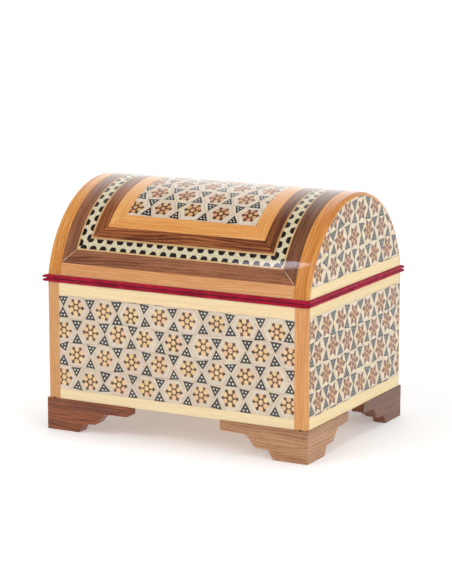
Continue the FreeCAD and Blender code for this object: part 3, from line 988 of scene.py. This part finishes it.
def tooth_outline():
    """One dark tooth, a half hexagon with its shoulders rubbed round, standing on its foot."""
    foot = TOOTH_FOOT / 2 * draw.uniform(0.94, 1.06)
    tip = TOOTH_TIP / 2 * draw.uniform(0.8, 1.2)
    high = TOOTH_HEIGHT * draw.uniform(0.92, 1.08)
    waist = foot - 0.12
    shoulder = (foot + tip) / 2 + 0.12
    return [(-foot, 0.0), (foot, 0.0), (waist, 0.3 * high), (shoulder, 0.66 * high), (tip, high),
            (-tip, high), (-shoulder, 0.66 * high), (-waist, 0.3 * high)]


def lay_zigzag(name, outer, inner):
    """A cream band with dark half-hexagon teeth along both edges, staggered."""
    layer = Layer(VAULT)
    for outline in frame_strips(outer, inner):
        layer.lay(outline, GROUND_TOP, VENEER + GROUND_TOP, 0, TILE_EASE, draw.random())
        border = drawn_in(outline, TILE_GAP)
        (au, av), (bu, bv), (cu, cv) = outline[:3]
        length = math.dist((au, av), (bu, bv))
        along = ((bu - au) / length, (bv - av) / length)
        into = (-along[1], along[0])
        width = abs((cu - au) * into[0] + (cv - av) * into[1])
        count = round(length / TOOTH_PITCH)
        pitch = length / count
        for k in range(count + 1):
            for shift, far, way in ((0.5, 0.0, 1), (0.0, width, -1)):
                at = (k + shift) * pitch + draw.uniform(-0.15, 0.15)
                tooth = [(at + a, far + way * b) for a, b in tooth_outline()][::way]
                tooth = [(au + along[0] * a + into[0] * b, av + along[1] * a + into[1] * b) for a, b in tooth]
                inside = trimmed(tooth, border)
                if len(inside) > 2:
                    layer.lay(inside, STAR_TOP, TILE_DEPTH, 1, TILE_EASE, draw.random())
    settle(layer.finish(name + "_inlay", [ZIGZAG_GROUND, ZIGZAG_TOOTH]), "zigzag_inlay", name)


def lay_lid_veneers():
    sizes = [half_size(name) for name in FRAME_NODES]
    looks = {
        "lid_outer_walnut_frame": ("walnut", OUTER_WALNUT),
        "lid_outer_line": ("line_inlay", LINE_WOOD),
        "lid_inner_line": ("line_inlay", LINE_WOOD),
        "lid_inner_walnut_frame": ("walnut", INNER_WALNUT),
        "lid_light_frame": ("light_wood", FRAME_WOOD),
    }
    for name, outer, inner in zip(FRAME_NODES, sizes, sizes[1:]):
        if name == "lid_zigzag_band":
            lay_zigzag(name, outer, inner)
            continue
        slot, material = looks[name]
        extra = mitre_filler(outer, inner) if name == FRAME_NODES[0] else ()
        ease = LINE_EASE if slot == "line_inlay" else VENEER_EASE
        lay_veneer(name, frame_strips(outer, inner), slot, material, ease, extra)
    half_length, girth = sizes[0]
    for name, low, high in (("lid_front_strip", -EDGE_GIRTH, -girth), ("lid_back_strip", girth, EDGE_GIRTH)):
        lay_veneer(name, [rectangle(-half_length, half_length, low, high)], "light_wood", EDGE_STRIP_WOOD)


# --- Boards, posts and feet with eased edges ---


def eased_copy(node, width):
    """A board's own shape with its sharp edges eased, as a mesh."""
    shape = bmesh.new()
    shape.from_mesh(nodes[node].data)
    bmesh.ops.remove_doubles(shape, verts=shape.verts, dist=0.001 * MM)
    bmesh.ops.dissolve_limit(shape, angle_limit=math.radians(0.5), verts=shape.verts, edges=shape.edges)
    sharp = [e for e in shape.edges if e.calc_face_angle(0.0) > math.radians(35)]
    bmesh.ops.bevel(shape, geom=sharp, offset=width * MM, segments=2, profile=0.5, affect="EDGES",
                    clamp_overlap=True)
    mesh = bpy.data.meshes.new(node)
    shape.to_mesh(mesh)
    shape.free()
    return mesh


def board(name, mesh, material, tone, slot, node):
    """One piece of wood with flat faces, sharp corners and one tone, standing for its CAD node."""
    mesh.materials.append(material)
    mesh.shade_smooth()
    mesh.set_sharp_from_angle(angle=math.radians(40))
    mark_tones(mesh, [tone] * len(mesh.polygons))
    piece = shown(name, mesh)
    piece.modifiers.new("flat faces", "WEIGHTED_NORMAL").keep_sharp = True
    settle(piece, slot, node)


def dress(node, slot, material, width=0.14, shade=None):
    """An eased board in the right wood, standing for its CAD node; shade is its tone, where it is chosen."""
    tone = draw.random() if shade is None else shade
    board(node + "_eased", eased_copy(node, width), material, tone, slot, node)


SIDES = ("front", "back", "left", "right")
STRIP_EASE = 0.08
POST_SHADES = {"front_left": 0.0, "front_right": 0.6, "back_left": 0.4, "back_right": 0.8}


def dress_boards():
    """The posts and feet at each corner, then the cream strips on each side."""
    for corner, shade in POST_SHADES.items():
        dress("post_" + corner, "light_wood", POST_WOOD, 0.2, shade)
        for length, run in (("long", "x"), ("short", "y")):
            dress("foot_%s_%s" % (corner, length), "foot_wood", foot_wood(corner, run))
    for side in SIDES:
        cream = CREAM_X if side in ("front", "back") else CREAM_Y
        for place in ("top", "foot"):
            dress("cream_strip_%s_%s" % (side, place), "cream_wood", cream, STRIP_EASE)
    for hand in ("left", "right"):
        dress("cream_strip_lid_" + hand, "cream_wood", CREAM_Y, STRIP_EASE)


ARRIS = 1.6             # rounding along the bands' outer edge
ARRIS_STEPS = 6
BAND_EASE = 0.12        # the small chamfer along the bands' inner edge
BAND_STEPS = 96


def skin(count, width, joined):
    """Faces between neighbouring sections of a swept shape, where each section is a ring of points."""
    faces = []
    for i in range(count if joined else count - 1):
        near, far = i * width, (i + 1) % count * width
        for j in range(width):
            k = (j + 1) % width
            faces.append([near + j, far + j, far + k, near + k])
    return faces


def lid_band(side, name):
    """Light band bent over one end of the vault, its outer arris rounded, cut off level at the lid's edge."""
    low_r = VAULT_R - BAND_DEPTH
    section = [(BAND_X, low_r), (HALF_LENGTH, low_r)]
    for i in range(ARRIS_STEPS + 1):
        a = math.pi / 2 * i / ARRIS_STEPS
        section.append((HALF_LENGTH - ARRIS + ARRIS * math.cos(a), VAULT_R - ARRIS + ARRIS * math.sin(a)))
    section += [(BAND_X + BAND_EASE, VAULT_R), (BAND_X, VAULT_R - BAND_EASE)]
    points = []
    for i in range(BAND_STEPS + 1):
        for x, r in section:
            foot = math.acos((LID_EDGE - VAULT_Z) / r)
            angle = foot * (2 * i / BAND_STEPS - 1)
            points.append(Vector((side * x, r * math.sin(angle), VAULT_Z + r * math.cos(angle))) * MM)
    width = len(section)
    ends = [list(range(width)), [BAND_STEPS * width + i for i in reversed(range(width))]]
    faces = ends + skin(BAND_STEPS + 1, width, joined=False)
    if side < 0:
        faces = [face[::-1] for face in faces]
    mesh = bpy.data.meshes.new(name)
    mesh.from_pydata(points, [], faces)
    board(name + "_bent", mesh, BAND_WOOD, draw.random(), "light_wood", name)


# --- Velvet ---

LIP_CORNER = 2.0        # how round the lips' corners are
LIP_STEP = 0.7
FAN_STEPS = 8           # parts of each length and turn of a corner
NOTCH_GAP = 0.3
NOTCH_SIDE = 0.03       # a notch's side slants by twice this much
ROLL_SHARE = 0.84       # how much of the room between wood and seam the outer roll fills
CORNER_TIPS = {(-1, -1): 1.5, (1, -1): 0.3, (-1, 1): 0.8, (1, 1): 1.0}  # folds of cloth that stick out


def lip_rails(node):
    """Pairs of points round a rim, on the lip's inner and outer edge, with notches where the hinges pass."""
    inner_x, inner_y = corners("base_floor_pad")[1].xy
    outer_x, outer_y = corners(node)[1].xy
    leaves = [corners("hinge_%s_base_leaf" % hand) for hand in ("left", "right")]
    notch_y = leaves[0][0].y - NOTCH_GAP
    cuts = [(low.x - NOTCH_GAP, high.x + NOTCH_GAP) for low, high in leaves]
    rails = []
    for turn in range(4):
        along_x = turn % 2 == 0
        half, reach = (inner_x, inner_y) if along_x else (inner_y, inner_x)
        out_half, out_reach = (outer_x, outer_y) if along_x else (outer_y, outer_x)
        steps = round(2 * half / LIP_STEP)
        stops = [-half + 2 * half * i / steps for i in range(steps + 1)]
        if turn == 2:
            stops = sorted(stops + [-x + d for cut in cuts for x in cut for d in (-NOTCH_SIDE, NOTCH_SIDE)])
        straight = out_half - LIP_CORNER
        side = [((t, -reach), (t, -out_reach)) for t in stops]
        bend_y = LIP_CORNER - out_reach
        shares = [i / FAN_STEPS for i in range(1, FAN_STEPS)]
        fan = [(half + (straight - half) * share, -out_reach) for share in shares]
        for i in range(FAN_STEPS + 1):
            a = math.pi / 2 * i / FAN_STEPS
            fan.append((straight + LIP_CORNER * math.sin(a), bend_y - LIP_CORNER * math.cos(a)))
        fan += [(out_half, bend_y - (bend_y + reach) * share) for share in shares]
        spin = Matrix.Rotation(math.pi / 2 * turn, 2)
        for near_point, far_point in side + [((half, -reach), far) for far in fan]:
            near_point, far_point = spin @ Vector(near_point), spin @ Vector(far_point)
            if turn == 2 and any(low < far_point.x < high for low, high in cuts):
                far_point.y = notch_y
            rails.append((near_point, far_point))
    return rails


def lip_section(length, thickness):
    """Distance out and height of the points round a lip's section: flat against the wood, a roll outside."""
    r = thickness * ROLL_SHARE / 2
    centre = thickness - r
    section = [(0.0, thickness * 0.25), (0.25, 0.0), (length * 0.5, 0.0), (length - 2.2 * r, 0.05)]
    section += [(length - r + r * math.cos(a), centre + r * math.sin(a))
                for a in (math.radians(-112.5 + 22.5 * i) for i in range(9))]
    section += [(length - r, thickness), (length * 0.62, thickness * 0.96), (length * 0.3, thickness * 0.97),
                (0.3, thickness * 0.93), (0.0, thickness * 0.7)]
    return section


def velvet_lip(node, wood_z, seam_z, seed):
    """Rolled velvet edge round one rim, brushed and a little uneven, with folds of cloth at the corners."""
    way = 1 if seam_z > wood_z else -1
    thickness = abs(seam_z - wood_z)
    points = []
    rails = lip_rails(node)
    high = corners(node)[1]
    tip_place = Vector((high.x - 0.6, high.y - 0.6))
    for near_point, far_point in rails:
        out = far_point - near_point
        length = out.length
        out.normalize()
        for reach, height in lip_section(length, thickness):
            at = near_point + out * reach
            looseness = max(0.0, (reach - length + thickness) / thickness)
            wave = noise.noise(Vector((at.x / 5, at.y / 5, seed)))
            ripple = noise.noise(Vector((at.x / 0.9, at.y / 0.9, seed + height)))
            fold = 0.0
            for (sx, sy), tip in CORNER_TIPS.items():
                off = (Vector((at.x * sx, at.y * sy)) - tip_place).length
                fold += tip * math.exp(-off ** 2)
            at = at + out * looseness * (0.35 * wave + 0.16 * ripple + fold)
            z = wood_z + way * height + 0.12 * looseness * noise.noise(Vector((at.x / 3, at.y / 3, seed + 9)))
            points.append(Vector((at.x, at.y, z)) * MM)
    mesh = closed_mesh(node, points, skin(len(rails), len(points) // len(rails), joined=True))
    mesh.materials.append(RED_VELVET)
    settle(shown(node + "_roll", mesh), "velvet", node)


def closed_mesh(name, points, faces):
    """A smooth mesh with its doubled points merged and all faces turned outwards."""
    shape = bmesh.new()
    made = [shape.verts.new(p) for p in points]
    for face in faces:
        shape.faces.new([made[i] for i in face])
    bmesh.ops.remove_doubles(shape, verts=shape.verts, dist=0.002 * MM)
    bmesh.ops.recalc_face_normals(shape, faces=shape.faces)
    for face in shape.faces:
        face.smooth = True
    mesh = bpy.data.meshes.new(name)
    shape.to_mesh(mesh)
    shape.free()
    return mesh


PANEL_ROLL = 0.6        # how wide a padded panel's rolled edge is
TUCK = 1.15             # how far a panel's edge is pushed in behind the next panel's face
END_GAP = 0.05          # room round the panels on the lid's ends
CROWDING = 0.4
UNEVEN = 0.12
UNEVEN_SPAN = 9.0


def crowded(t):
    """Stations from 0 to 1 that crowd towards both ends, where the roll is."""
    return t - CROWDING * math.sin(2 * math.pi * t) / (2 * math.pi)


def padded_panel(name, place, width, height, thickness, crown, step, seed):
    """A velvet-covered card panel: place(a, b, h) gives a point from two shares of the way across and up
    and a height above the card, in millimetres. Its edges are rolled over and its middle is fuller."""
    columns, rows = max(4, round(width / step)), max(4, round(height / step))
    points, faces = [], []
    for top in (True, False):
        for j in range(rows + 1):
            for i in range(columns + 1):
                a, b = crowded(i / columns), crowded(j / rows)
                h = 0.0
                if top:
                    soft = noise.noise(Vector((a * width / UNEVEN_SPAN, b * height / UNEVEN_SPAN, seed)))
                    off = min(min(a, 1 - a) * width, min(b, 1 - b) * height)
                    edge = math.sqrt(1 - (1 - min(1.0, off / PANEL_ROLL)) ** 2)
                    full = math.sin(math.pi * a) * math.sin(math.pi * b)
                    h = (thickness + UNEVEN * soft) * edge + crown * full
                points.append(place(a, b, h) * MM)
    layer = (rows + 1) * (columns + 1)
    for base, flip in ((0, False), (layer, True)):
        for j in range(rows):
            for i in range(columns):
                k = base + j * (columns + 1) + i
                face = [k, k + 1, k + columns + 2, k + columns + 1]
                faces.append(face[::-1] if flip else face)
    return closed_mesh(name, points, faces)


def line_walls():
    """Four padded panels round the inside of the base: the long ones run into the corners."""
    low, high = corners("base_wall_lining")
    pad = corners("base_floor_pad")[1]
    height = high.z - low.z
    thickness = (high.x - pad.x) * 0.97
    meshes = []
    for turn in range(4):
        half, reach = (high.x - END_GAP, high.y) if turn % 2 == 0 else (pad.y + TUCK, high.x)
        spin = Matrix.Rotation(math.pi / 2 * turn, 3, "Z")

        def place(a, b, h):
            return spin @ Vector((half * (1 - 2 * a), -reach + h, low.z + height * b))

        meshes.append(padded_panel("wall", place, 2 * half, height, thickness, 0.2, 2.2, 20 + turn))
    lining = join_meshes("base_wall_lining_velvet", meshes)
    settle(lining, "velvet", "base_wall_lining")


def line_vault():
    """One padded panel bent round the inside of the vault."""
    high = corners("lid_vault_lining")[1]
    outer = high.z - VAULT_Z
    thickness = (corners("lid_end_linings")[1].x - high.x) * 0.95
    girth = 2 * outer * math.acos((LID_EDGE - VAULT_Z) / outer)

    def place(a, b, h):
        r = outer - h
        limit = math.acos((LID_EDGE - VAULT_Z) / r)
        angle = limit * (2 * b - 1)
        return Vector(((high.x + TUCK) * (2 * a - 1), r * math.sin(angle), VAULT_Z + r * math.cos(angle)))

    mesh = padded_panel("vault", place, 2 * high.x, girth, thickness, 0.15, 2.0, 31)
    lining = join_meshes("lid_vault_lining_velvet", [mesh])
    settle(lining, "velvet", "lid_vault_lining")


def line_lid_ends():
    """A padded half-moon panel on the inside of each end of the lid."""
    high = corners("lid_end_linings")[1]
    thickness = (high.x - corners("lid_vault_lining")[1].x) * 0.95
    reach = high.z - VAULT_Z - END_GAP
    half = math.sqrt(reach ** 2 - (LID_EDGE - VAULT_Z) ** 2) - END_GAP
    height = high.z - LID_EDGE
    meshes = []
    for side in (-1, 1):

        def place(a, b, h):
            y = half * (2 * a - 1)
            top = math.sqrt(reach ** 2 - y ** 2) + VAULT_Z - LID_EDGE
            return Vector((side * (high.x - h), y * -side, LID_EDGE + top * b))

        meshes.append(padded_panel("end", place, 2 * half, height, thickness, 0.15, 1.8, 40 + side))
    lining = join_meshes("lid_end_linings_velvet", meshes)
    settle(lining, "velvet", "lid_end_linings")


def join_meshes(name, meshes):
    """One velvet piece from the panels of a lining."""
    shape = bmesh.new()
    for mesh in meshes:
        shape.from_mesh(mesh)
    joined = bpy.data.meshes.new(name)
    shape.to_mesh(joined)
    shape.free()
    joined.materials.append(RED_VELVET)
    return shown(name, joined)


def line_floor():
    """A thin cushion on the box's floor: its underside is glued down, and its filling blows up the cloth."""
    low, high = corners("base_floor_pad")

    def place(a, b, h):
        return Vector(((high.x + TUCK) * (2 * a - 1), (high.y + TUCK) * (2 * b - 1), low.z + h))

    mesh = padded_panel("floor_pad", place, 2 * high.x, 2 * high.y, (high.z - low.z) * 0.72, 0.2, 1.6, 51)
    pad = join_meshes("base_floor_pad_velvet", [mesh])
    blow_up(pad, low.z)
    settle(pad, "velvet", "base_floor_pad")


SIMULATION_SCALE = 4.0  # the pad is simulated this much larger, at the size of a seat cushion
SIMULATION_STEPS = 20
PAD_PRESSURE = 4.0
MOST_LIFT = 0.9         # how far the filling may lift the cloth
SIDEWAYS = 0.3          # share of the sideways movement that is kept


def blow_up(pad, floor_z):
    """Cloth simulation of a pad's cover over its filling; what it did is kept in the mesh."""
    mesh = pad.data
    rest = [v.co.copy() for v in mesh.vertices]
    for v in mesh.vertices:
        v.co *= SIMULATION_SCALE
    glued = pad.vertex_groups.new(name="glued")
    glued.add([i for i, p in enumerate(rest) if p.z < (floor_z + 0.05) * MM], 1.0, "REPLACE")
    cloth = pad.modifiers.new("cloth", "CLOTH")
    cloth.settings.vertex_group_mass = glued.name
    cloth.settings.use_pressure = True
    cloth.settings.uniform_pressure_force = PAD_PRESSURE
    cloth.settings.effector_weights.gravity = 0.0
    cloth.point_cache.frame_end = SIMULATION_STEPS
    for step in range(1, SIMULATION_STEPS + 1):
        bpy.context.scene.frame_set(step)
    blown = pad.evaluated_get(bpy.context.evaluated_depsgraph_get()).to_mesh()
    moved = [v.co / SIMULATION_SCALE for v in blown.vertices]
    pad.modifiers.remove(cloth)
    pad.vertex_groups.clear()
    bpy.context.scene.frame_set(1)
    for v, before, after in zip(mesh.vertices, rest, moved):
        lift = after - before
        lift.x *= SIDEWAYS
        lift.y *= SIDEWAYS
        if lift.length > MOST_LIFT * MM:
            lift.length = MOST_LIFT * MM
        v.co = before + lift
        v.co.z = max(v.co.z, floor_z * MM)


# --- Everything in its place ---


lay_mosaics()
lay_lid_veneers()
dress_boards()
lid_band(1, "lid_right_band")
lid_band(-1, "lid_left_band")
velvet_lip("base_velvet_lip", corners("base_velvet_lip")[0].z, corners("base_velvet_lip")[1].z, 61.0)
velvet_lip("lid_velvet_lip", corners("lid_velvet_lip")[1].z, corners("lid_velvet_lip")[0].z, 67.0)
line_walls()
line_vault()
line_lid_ends()
line_floor()
for name, node in nodes.items():
    if not node.hide_render:
        node.data.materials.clear()
        node.data.materials.append(BRASS if name.startswith("hinge") else CARCASS)


PAINTED_SHADE_REACH = (200.0, 1600.0)    # the floor glows, dimmer near the box: painted shade round the box
FLOOR_GLOW_AND_PAINTED_SHADE = (0.31, 0.65)


def make_floor():
    """Pale studio floor, with the faintest unevenness. It glows, less near the box, which paints shade round
    the box.
    """
    mesh = bpy.data.meshes.new("floor")
    mesh.from_pydata([(x, y, 0.0) for x, y in polygon((0, 0), 8.0, 64)], [], [list(range(64))])
    material, wiring, shader = start_material("pale_floor", Emission_Strength=1.0)
    place = wiring.place()
    patches = wiring.noise(place, 60.0, 3.0)
    far = wiring.add("VectorMath", {0: place}, operation="LENGTH").outputs["Value"]
    # painted shade: the floor's glow is lowest next to the box and rises with distance
    glow_and_painted_shade = wiring.spread(far, *PAINTED_SHADE_REACH, *FLOOR_GLOW_AND_PAINTED_SHADE)
    wiring.feed(shader["Emission Color"], wiring.join(glow_and_painted_shade, glow_and_painted_shade, glow_and_painted_shade))
    wiring.feed(shader["Base Color"], wiring.mix(patches, linear(246, 246, 246), linear(250, 250, 250)))
    wiring.feed(shader["Roughness"], wiring.spread(patches, 0.0, 1.0, 0.6, 0.7))
    mesh.materials.append(material)
    shown("floor", mesh)


WORLD_LIGHT = 0.38
MIRROR_TURN = (0.1, 0.65)       # polish mirrors a dim studio in front of the box and a bright wall behind it
MIRROR_LIGHT = (0.08, 1.35)
MIRROR_SIDE = (0.7, 0.33)       # the bright wall stands behind and to the left
WINDOW_COLOUR = (0.84, 0.86, 1.0)
LAMPS = [               # name, place, width and height, watts, and whether polished surfaces mirror it
    ("key", (-0.9, -1.3, 1.3), (0.9, 0.9), 9.0, False),
    ("side", (1.4, -0.5, 0.8), (0.7, 0.7), 6.0, False),
    ("above", (0.1, 0.1, 1.4), (0.6, 0.6), 5.0, False),
    ("window", (-0.41, -0.71, 0.72), (0.045, 0.15), 0.2, True),
]


def make_lights():
    """Soft studio light: an even world, three broad lamps, and a small window that the lacquer mirrors."""
    world = bpy.data.worlds.new("studio")
    bpy.context.scene.world = world
    world.use_nodes = True
    world.node_tree.nodes.clear()
    wiring = Wiring(world.node_tree)
    rays = wiring.add("LightPath").outputs
    towards = wiring.split(wiring.add("TexCoord").outputs["Generated"])
    backwards = wiring.minus(towards[1], wiring.math("MULTIPLY_ADD", towards[0], *MIRROR_SIDE))
    studio = wiring.spread(backwards, *MIRROR_TURN, *MIRROR_LIGHT)
    strength = wiring.blend(rays["Is Glossy Ray"], WORLD_LIGHT, studio)
    strength = wiring.blend(rays["Is Camera Ray"], strength, 1.0)
    background = wiring.add("Background", {"Color": WHITE, "Strength": strength})
    wiring.add("OutputWorld", {"Surface": background.outputs[0]})
    for name, place, size, power, mirrored in LAMPS:
        lamp = bpy.data.lights.new(name, "AREA")
        lamp.shape = "RECTANGLE"
        lamp.size, lamp.size_y = size
        lamp.energy = power
        lamp.color = WINDOW_COLOUR if mirrored else WHITE[:3]
        made = bpy.data.objects.new(name, lamp)
        made.location = place
        made.rotation_euler = (-Vector(place)).to_track_quat("-Z", "Y").to_euler()
        made.visible_glossy = mirrored
        bpy.context.scene.collection.objects.link(made)


AZIMUTH = math.radians(28.42)
ELEVATION = math.radians(11.13)
CAMERA_DISTANCE = 0.9792        # metres
AIM = Vector((-0.0001, 0.0, 0.06047))
LENS = 133.5


def make_camera():
    level = math.cos(ELEVATION)
    back = Vector((math.sin(AZIMUTH) * level, -math.cos(AZIMUTH) * level, math.sin(ELEVATION)))
    camera = bpy.data.objects.new("camera", bpy.data.cameras.new("camera"))
    camera.data.lens = LENS
    camera.location = AIM + back * CAMERA_DISTANCE
    camera.rotation_mode = "QUATERNION"
    camera.rotation_quaternion = (-back).to_track_quat("-Z", "Y")
    bpy.context.scene.collection.objects.link(camera)
    bpy.context.scene.camera = camera


make_floor()
make_lights()
make_camera()
bpy.context.scene.view_settings.view_transform = "Standard"
